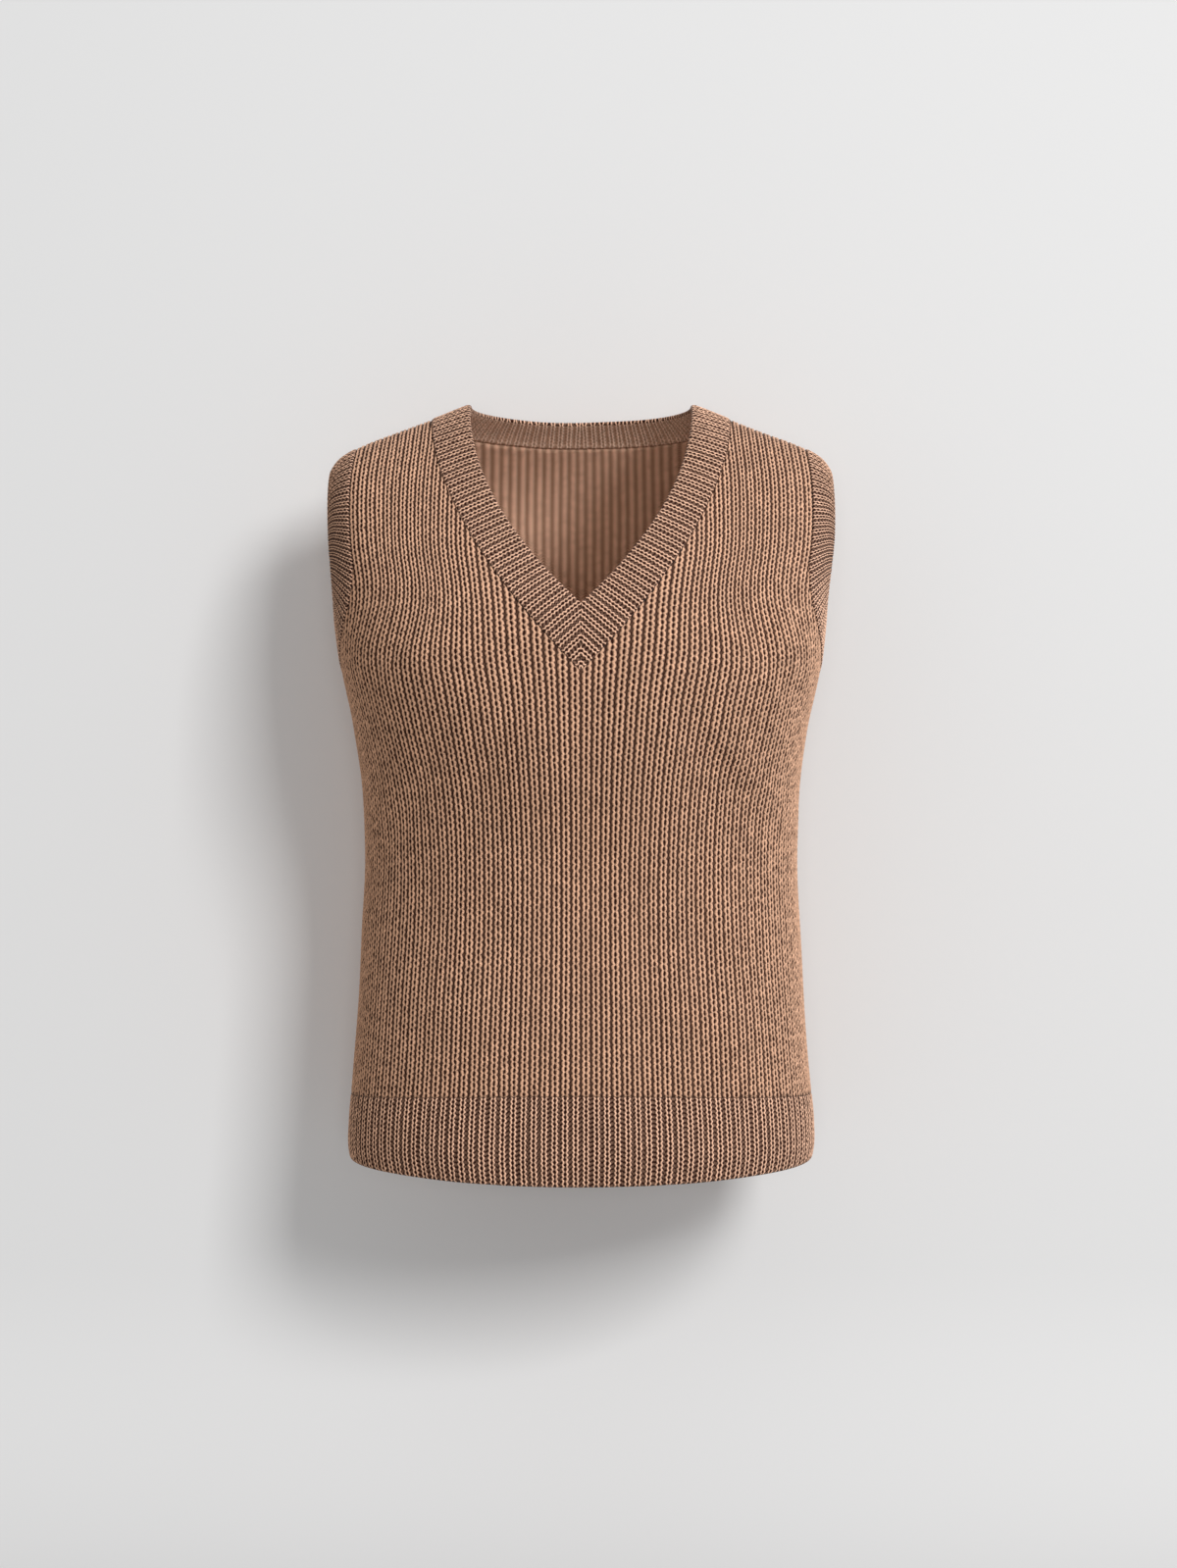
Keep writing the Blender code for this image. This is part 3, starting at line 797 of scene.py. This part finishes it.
def make_neckband(name, materials):
    """The neckband: ribs square to the seam, cut off on the centre line below the V."""
    seam = neck_line(NECK_SEAM_HALF, V_SEAM_TIP, V_SEAM_BEND, BACK_SEAM_HEIGHT, -SEAM_SHIFT)
    edge = resample(neck_line(NECK_EDGE_HALF, V_EDGE_TIP, V_EDGE_BEND, BACK_EDGE_HEIGHT), 900)
    mitre = np.linspace(V_SEAM_TIP + SEAM_SHIFT, V_EDGE_TIP, MITRE_STEPS + 1)
    mitre = root_of(QUARTER, mitre)[:-1]
    ends = np.concatenate((np.full(MITRE_STEPS, QUARTER), edge[0])), np.concatenate((mitre, edge[1]))
    seam = resample(seam, NECK_RIBS * BAND_COLUMNS + 1)
    reach, place = square_across(seam, ends)
    blunt = ease((MITRE_STEPS + BLUNT_STEPS / 2 - place) / BLUNT_STEPS)
    rib = np.arange(len(seam[0])) / BAND_COLUMNS
    first = slice(None, -1)
    halves = [np.concatenate((line[first], line[:0:-1])) for line in (*seam, *reach, blunt)]
    flip = np.concatenate((np.ones(len(rib) - 1), -np.ones(len(rib) - 1)))
    around = np.concatenate((rib[first], rib[-1] + rib[first]))
    return make_band(name, halves[0:2], halves[2:4], flip, around, BAND_COURSE, materials, True,
                     NECK_ROWS, 7, blunt=halves[4], rope=CHAIN_HEIGHT, lift=BAND_LIFT)


def make_armband(name, mirrored, materials, seed):
    """An armband: ribs square to the armhole, from the underarm round and back to it."""
    count = ARM_RIBS * BAND_COLUMNS + 1
    seam = resample(arm_line(ARM_SEAM_ANGLE, ARM_SEAM_TURN, ARM_SEAM_LOW, -SEAM_SHIFT), count)
    edge = resample(arm_line(ARM_EDGE_ANGLE, ARM_EDGE_TURN, ARM_EDGE_LOW), count)
    seam, edge = ([line[:-1] for line in pair] for pair in (seam, edge))
    flip = np.full(count - 1, -1.0 if mirrored else 1.0)
    rib = np.arange(count - 1) / BAND_COLUMNS
    return make_band(name, seam, edge, flip, rib, BAND_COURSE, materials, True, ARM_ROWS, seed,
                     lift=BAND_LIFT)


# ---- Yarn ----------------------------------------------------------------------------------

class Field:
    """A value over the surface: a socket that can be reckoned with."""

    def __init__(self, tree, socket):
        self.tree = tree
        self.socket = socket

    def math(self, operation, *others, clamp=False):
        """A Math node on this value and the others."""
        node = self.tree.nodes.new("ShaderNodeMath")
        node.operation = operation
        node.use_clamp = clamp
        for slot, value in zip(node.inputs, (self, *others)):
            put(self.tree, slot, value)
        return Field(self.tree, node.outputs[0])

    def __add__(self, other):
        return self.math("ADD", other)

    def __sub__(self, other):
        return self.math("SUBTRACT", other)

    def __mul__(self, other):
        return self.math("MULTIPLY", other)

    def __truediv__(self, other):
        return self.math("DIVIDE", other)

    def wave(self):
        """Cosine that repeats once a unit."""
        return (self * TURN).math("COSINE")

    def ramp(self, low, high):
        """Smooth step from low to high."""
        node = self.tree.nodes.new("ShaderNodeMapRange")
        node.interpolation_type = "SMOOTHSTEP"
        for name, value in (("Value", self), ("From Min", low), ("From Max", high)):
            put(self.tree, node.inputs[name], value)
        return Field(self.tree, node.outputs[0])

    def strand(self, width):
        """Round top of a yarn: the upper half of a circle, one high where the value is nought."""
        away = self / width
        return (away * away * -1.0 + 1.0).math("MAXIMUM", 0.0).math("SQRT")


def put(tree, slot, value):
    """Link a field or set a plain value on an input."""
    if isinstance(value, Field):
        tree.links.new(value.socket, slot)
    else:
        slot.default_value = value


def new_group(name, inputs, outputs):
    """A node group with named sockets: its tree, and fields of its inputs by name."""
    tree = bpy.data.node_groups.new(name, "ShaderNodeTree")
    for label, kind, value in inputs:
        socket = tree.interface.new_socket(name=label, in_out="INPUT", socket_type="NodeSocket" + kind)
        if value is not None:
            socket.default_value = value
    for label, kind in outputs:
        tree.interface.new_socket(name=label, in_out="OUTPUT", socket_type="NodeSocket" + kind)
    source = tree.nodes.new("NodeGroupInput")
    return tree, {label: Field(tree, source.outputs[label]) for label, _, _ in inputs}


def close_group(tree, results):
    """Link the results to the group's outputs."""
    sink = tree.nodes.new("NodeGroupOutput")
    for label, value in results.items():
        tree.links.new(value.socket, sink.inputs[label])
    return tree


def parts_of(tree, vector):
    """x and y of a vector field."""
    node = tree.nodes.new("ShaderNodeSeparateXYZ")
    tree.links.new(vector.socket, node.inputs[0])
    return Field(tree, node.outputs[0]), Field(tree, node.outputs[1])


def joined(tree, x, y):
    """Vector field from two values."""
    node = tree.nodes.new("ShaderNodeCombineXYZ")
    put(tree, node.inputs[0], x)
    put(tree, node.inputs[1], y)
    return Field(tree, node.outputs[0])


def noise(tree, vector, scale, detail=1.0):
    """Smooth noise over a vector field."""
    node = tree.nodes.new("ShaderNodeTexNoise")
    node.inputs["Scale"].default_value = scale
    node.inputs["Detail"].default_value = detail
    tree.links.new(vector.socket, node.inputs["Vector"])
    return Field(tree, node.outputs["Fac"])


def cell_value(tree, x, y):
    """One random value for each whole pair of x and y."""
    node = tree.nodes.new("ShaderNodeTexWhiteNoise")
    node.noise_dimensions = "2D"
    tree.links.new(joined(tree, x.math("FLOOR"), y.math("FLOOR")).socket, node.inputs["Vector"])
    return Field(tree, node.outputs["Value"])


STITCH_SOCKETS = (("Stitch", "Vector", None), ("Wander", "Float", 0.1))
# Hollow is the mask where yarn_tint paints shade into the yarn's colour
STITCH_RESULTS = (("Height", "Float"), ("Hollow", "Float"), ("Tone", "Float"))


def wandered(tree, inputs):
    """Rib and course with a slow wander added, so that no two stitches are quite alike."""
    u, v = parts_of(tree, inputs["Stitch"])
    drift = noise(tree, inputs["Stitch"], 0.9)
    other = noise(tree, joined(tree, u + 31.7, v + 11.3), 1.1)
    return u + (drift - 0.5) * inputs["Wander"], v + (other - 0.5) * inputs["Wander"] * 2.5


def cardigan_loops():
    """Chunky rib: two legs that swing apart round a hole and pinch again with each course."""
    tree, inputs = new_group("cardigan_loops", STITCH_SOCKETS, STITCH_RESULTS)
    u, v = wandered(tree, inputs)
    side = (u.math("FRACT") - 0.5).math("ABSOLUTE")
    skewed = v + (v * TURN).math("SINE") * 0.09
    leg = skewed.wave() * -0.055 + 0.212
    yarn = (side - leg).strand(0.178)
    bar = ((v + 0.5).math("FRACT") - 0.5).strand(0.30) * (side - 0.5).strand(0.20) * 0.12
    turn = ((v * 4.0 + side * 5.0).wave() * 0.5 + 0.5) * yarn
    solid = yarn.math("MAXIMUM", bar)
    tone = cell_value(tree, u, v + 0.5)
    height = solid + turn * 0.12
    return close_group(tree, {"Height": height, "Hollow": solid * -1.0 + 1.0, "Tone": tone})


def fine_rib():
    """Fine rib: a pair of strands that sway with each course, and purl bars in the channel."""
    tree, inputs = new_group("fine_rib", STITCH_SOCKETS, STITCH_RESULTS)
    u, v = wandered(tree, inputs)
    side = (u.math("FRACT") - 0.5).math("ABSOLUTE")
    leg = v.wave() * 0.054 + 0.198
    yarn = (side - leg).strand(0.126)
    slant = v + u * 0.7
    bar = (slant.math("FRACT") - 0.5).strand(0.34) * (side - 0.5).strand(0.20) * 0.24
    stitch = ((v + side * 1.5).math("FRACT") - 0.5).strand(0.62) * 0.35 + 0.65
    height = (yarn * stitch).math("MAXIMUM", bar)
    tone = cell_value(tree, u * 2.0, v)
    return close_group(tree, {"Height": height, "Hollow": height * -1.0 + 1.0, "Tone": tone})


def reverse_rib():
    """Wrong side of the chunky rib: broad ribs with slanting stitches, and soft grooves."""
    tree, inputs = new_group("reverse_rib", STITCH_SOCKETS, STITCH_RESULTS)
    u, v = wandered(tree, inputs)
    side = (u.math("FRACT") - 0.5).math("ABSOLUTE")
    crest = u.wave() * 0.5 + 0.5
    slant = (v * 2.0 + side * 2.4).wave() * 0.5 + 0.5
    height = crest * 0.55 + slant * 0.45
    hollow = height.ramp(0.85, 0.0)
    tone = cell_value(tree, u + 0.5, v * 2.0)
    return close_group(tree, {"Height": height, "Hollow": hollow, "Tone": tone})


def yarn_tint():
    """Colour of the yarn: painted shade in the hollows, uneven from stitch to stitch and over the
    cloth.
    """
    inputs = (
        ("Stitch", "Vector", None), ("Place", "Vector", None),
        ("Hollow", "Float", 0.0), ("Tone", "Float", 0.5),
        # Shade, Depth and Falloff set the painted shade of the hollows: its colour, its strength and
        # how far it spreads
        ("Yarn", "Color", (0.5, 0.3, 0.2, 1.0)), ("Shade", "Color", (0.05, 0.02, 0.01, 1.0)),
        ("Depth", "Float", 1.0), ("Falloff", "Float", 1.5),
    )
    tree, fields = new_group("yarn_tint", inputs, (("Color", "Color"),))
    # Painted shade: the hollows of the stitches and the grooves between ribs are mixed towards the
    # Shade colour
    deep = fields["Hollow"].math("POWER", fields["Falloff"]) * fields["Depth"]
    dye = noise(tree, fields["Place"], 14.0, 3.0)
    fibre = noise(tree, fields["Stitch"], 3.6, 2.0)
    light = (dye - 0.5) * 0.16 + (fibre - 0.5) * 0.9 + (fields["Tone"] - 0.5) * 0.22 + 1.0
    tinted = tree.nodes.new("ShaderNodeVectorMath")
    tinted.operation = "SCALE"
    tree.links.new(fields["Yarn"].socket, tinted.inputs[0])
    tree.links.new(light.socket, tinted.inputs["Scale"])
    blend = tree.nodes.new("ShaderNodeMix")
    blend.data_type = "RGBA"
    tree.links.new(deep.math("MINIMUM", 1.0).socket, blend.inputs["Factor"])
    tree.links.new(tinted.outputs[0], blend.inputs["A"])
    tree.links.new(fields["Shade"].socket, blend.inputs["B"])
    return close_group(tree, {"Color": Field(tree, blend.outputs["Result"])})


def make_knit(name, pattern, tint, yarn, shade, depth, falloff, relief, wander=0.1):
    """A knitted material: a stitch group for its height and hollows, and the yarn's tint with painted
    shade in the hollows.
    """
    material = bpy.data.materials.new(name)
    material.use_nodes = True
    tree = material.node_tree
    shader = tree.nodes["Principled BSDF"]
    stitch = tree.nodes.new("ShaderNodeUVMap")
    stitch.uv_map = "stitches"
    place = tree.nodes.new("ShaderNodeTexCoord")
    knit = tree.nodes.new("ShaderNodeGroup")
    knit.node_tree = pattern
    knit.inputs["Wander"].default_value = wander
    colour = tree.nodes.new("ShaderNodeGroup")
    colour.node_tree = tint
    # shade, depth and falloff give the painted shade of the hollows
    for label, value in (("Yarn", yarn), ("Shade", shade), ("Depth", depth), ("Falloff", falloff)):
        colour.inputs[label].default_value = value
    bump = tree.nodes.new("ShaderNodeBump")
    bump.inputs["Distance"].default_value = relief
    links = (
        (stitch.outputs["UV"], knit.inputs["Stitch"]),
        (stitch.outputs["UV"], colour.inputs["Stitch"]),
        (place.outputs["Object"], colour.inputs["Place"]),
        (knit.outputs["Hollow"], colour.inputs["Hollow"]),
        (knit.outputs["Tone"], colour.inputs["Tone"]),
        (colour.outputs["Color"], shader.inputs["Base Color"]),
        (knit.outputs["Height"], bump.inputs["Height"]),
        (bump.outputs["Normal"], shader.inputs["Normal"]),
    )
    for source, target in links:
        tree.links.new(source, target)
    shader.inputs["Roughness"].default_value = 0.82
    shader.inputs["Specular IOR Level"].default_value = 0.12
    shader.inputs["Sheen Weight"].default_value = 0.06
    shader.inputs["Sheen Roughness"].default_value = 0.5
    return material


# ---- The vest ------------------------------------------------------------------------------

WELT_COLUMNS = 10
WELT_COURSE = 0.0033
BAND_COLUMNS = 8
BAND_COURSE = 0.0031
NECK_RIBS = 62                 # ribs from the tip of the V to the centre back
ARM_RIBS = 78                  # ribs round one armhole

BODY_YARN = (0.78, 0.435, 0.265, 1.0)
RIB_YARN = (0.94, 0.545, 0.350, 1.0)
# Painted shade: the dark colour mixed into the hollows of the stitches and the grooves between ribs
PAINTED_SHADE = (0.030, 0.005, 0.0005, 1.0)
# Wrong sides, seen inside the vest: painted light, a paler copy of the yarn with a lighter painted
# shade in its hollows
BODY_WRONG_YARN_PAINTED_LIGHT = (0.78, 0.460, 0.300, 1.0)
BODY_WRONG_PAINTED_SHADE = (0.16, 0.060, 0.022, 1.0)
RIB_WRONG_YARN_PAINTED_LIGHT = (0.90, 0.600, 0.430, 1.0)
RIB_WRONG_PAINTED_SHADE = (0.30, 0.140, 0.070, 1.0)

tint = yarn_tint()
loops = make_knit("body_knit_yarn", cardigan_loops(), tint, BODY_YARN, PAINTED_SHADE, 1.0, 0.75, 0.0011, 0.22)
# The wrong-side materials carry painted light: paler yarn and lighter painted shade in the hollows
wrong_side = make_knit("body_knit_reverse", reverse_rib(), tint, BODY_WRONG_YARN_PAINTED_LIGHT, BODY_WRONG_PAINTED_SHADE,
                       0.80, 1.0, 0.0006)
rib_pattern = fine_rib()
ribbing = [
    make_knit("rib_knit_yarn", rib_pattern, tint, RIB_YARN, PAINTED_SHADE, 1.0, 0.78, 0.0009, 0.16),
    make_knit("rib_knit_reverse", rib_pattern, tint, RIB_WRONG_YARN_PAINTED_LIGHT, RIB_WRONG_PAINTED_SHADE,
              0.70, 1.0, 0.0005, 0.16),
]

front_panel = make_panel("front_panel_knit", FRONT, [loops, wrong_side], 11)
back_panel = make_panel("back_panel_knit", BACK, [loops, wrong_side], 12)
front_welt = make_welt("front_welt_rib", FRONT, ribbing, 13)
back_welt = make_welt("back_welt_rib", BACK, ribbing, 14)
neckband = make_neckband("neckband_rib", ribbing)
armband_left = make_armband("armband_left_rib", False, ribbing, 15)
armband_right = make_armband("armband_right_rib", True, ribbing, 16)

PIECES = (
    (front_panel, "front_panel", "body_knit", (0.500, 0.530), 0.176),
    (back_panel, "back_panel", "body_knit", (0.504, 0.540), 0.195),
    (front_welt, "front_welt", "rib_knit", (0.452, 0.062), 0.0250),
    (back_welt, "back_welt", "rib_knit", (0.458, 0.062), 0.0252),
    (neckband, "neckband", "rib_knit", (0.830, 0.029), 0.0210),
    (armband_left, "armband_left", "rib_knit", (0.465, 0.029), 0.0110),
    (armband_right, "armband_right", "rib_knit", (0.465, 0.029), 0.0110),
)
for piece, node, slot, flat, area in PIECES:
    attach(piece, "root")
    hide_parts(node)


# ---- Studio --------------------------------------------------------------------------------

def stage_material(name, colour):
    """Matt pale card, seen from its face only."""
    material = bpy.data.materials.new(name)
    material.use_nodes = True
    tree = material.node_tree
    shader = tree.nodes["Principled BSDF"]
    shader.inputs["Base Color"].default_value = colour
    shader.inputs["Roughness"].default_value = 0.95
    shader.inputs["Specular IOR Level"].default_value = 0.0
    clear = tree.nodes.new("ShaderNodeBsdfTransparent")
    side = tree.nodes.new("ShaderNodeNewGeometry")
    blend = tree.nodes.new("ShaderNodeMixShader")
    tree.links.new(side.outputs["Backfacing"], blend.inputs["Fac"])
    tree.links.new(shader.outputs["BSDF"], blend.inputs[1])
    tree.links.new(clear.outputs["BSDF"], blend.inputs[2])
    tree.links.new(blend.outputs["Shader"], tree.nodes["Material Output"].inputs["Surface"])
    return material


def make_stage(name, reach, material):
    """Floor that turns up into a wall behind: a quarter circle between two flat sheets."""
    bend = np.linspace(0.0, QUARTER, 17)
    radius = COVE_RADIUS
    y = np.concatenate(((-reach,), WALL_BEHIND - radius + radius * np.sin(bend), (WALL_BEHIND,)))
    z = np.concatenate(((FLOOR_HEIGHT,), FLOOR_HEIGHT + radius - radius * np.cos(bend), (reach,)))
    left = np.stack((np.full(len(y), -reach), y, z), -1)
    right = left * np.array((-1.0, 1.0, 1.0))
    row = np.arange(len(y) - 1)
    faces = np.stack((row, row + len(y), row + len(y) + 1, row + 1), -1)
    mesh = bpy.data.meshes.new(name)
    mesh.from_pydata(np.concatenate((left, right)).tolist(), [], faces.tolist())
    mesh.shade_smooth()
    mesh.materials.append(material)
    sheet = bpy.data.objects.new(name, mesh)
    bpy.context.scene.collection.objects.link(sheet)
    sheet.visible_diffuse = False
    sheet.visible_glossy = False
    sheet.visible_shadow = False
    return sheet


def make_light(name, azimuth, elevation, size, power, stage_link="", colour=(1.0, 1.0, 1.0)):
    """A square soft light aimed at the vest; stage_link may keep it to the stage or off the stage."""
    turn, rise = np.radians(azimuth), np.radians(elevation)
    way = Vector((np.sin(turn) * np.cos(rise), -np.cos(turn) * np.cos(rise), np.sin(rise)))
    lamp = bpy.data.lights.new(name, "AREA")
    lamp.shape = "SQUARE"
    lamp.size = size
    lamp.energy = power
    lamp.color = colour
    light = bpy.data.objects.new(name, lamp)
    bpy.context.scene.collection.objects.link(light)
    light.location = Vector(CENTRE) + way * LIGHT_DISTANCE
    light.rotation_mode = "QUATERNION"
    light.rotation_quaternion = (-way).to_track_quat("-Z", "Y")
    if stage_link:
        reach = bpy.data.collections.new(name + "_reach")
        reach.objects.link(stage)
        reach.collection_objects[0].light_linking.link_state = stage_link
        light.light_linking.receiver_collection = reach


CAMERA_DISTANCE = 2.2
SENSOR_HEIGHT = 36.0           # millimetres
VIEW_HEIGHT = 1.143            # what the camera sees from top to bottom, on the vest's centre line
CENTRE = (0.0054, 0.0, -0.277)
WALL_BEHIND = 0.130
FLOOR_HEIGHT = -0.90
COVE_RADIUS = 0.25
STAGE_REACH = 8.0
LIGHT_DISTANCE = 5.0
SKY_STRENGTH = 0.35
COOL = (1.0, 1.08, 1.20)

card = stage_material("pale_card", (0.80, 0.80, 0.80, 1.0))
stage = make_stage("floor", STAGE_REACH, card)

world = bpy.data.worlds.new("studio")
bpy.context.scene.world = world
world.use_nodes = True
sky = world.node_tree.nodes["Background"]
sky.inputs["Color"].default_value = (1.0, 1.0, 1.0, 1.0)
sky.inputs["Strength"].default_value = SKY_STRENGTH

make_light("key", 60.0, 38.0, 1.6, 140.0, "EXCLUDE", COOL)
make_light("front", 35.0, 25.0, 1.2, 95.0, "EXCLUDE", COOL)
make_light("fill", 0.0, 0.0, 1.2, 38.0)
make_light("wall_light", 26.0, 24.0, 1.5, 145.0, "INCLUDE")
make_light("back_fill", 182.0, 20.0, 2.0, 120.0, "EXCLUDE")

camera_data = bpy.data.cameras.new("camera")
camera_data.sensor_fit = "VERTICAL"
camera_data.sensor_height = SENSOR_HEIGHT
camera_data.lens = SENSOR_HEIGHT / 2 * CAMERA_DISTANCE / (VIEW_HEIGHT / 2)
camera = bpy.data.objects.new("camera", camera_data)
bpy.context.scene.collection.objects.link(camera)
camera.location = (CENTRE[0], -CAMERA_DISTANCE, CENTRE[2])
camera.rotation_euler = (QUARTER, 0.0, 0.0)
bpy.context.scene.camera = camera
bpy.context.scene.view_settings.view_transform = "Standard"
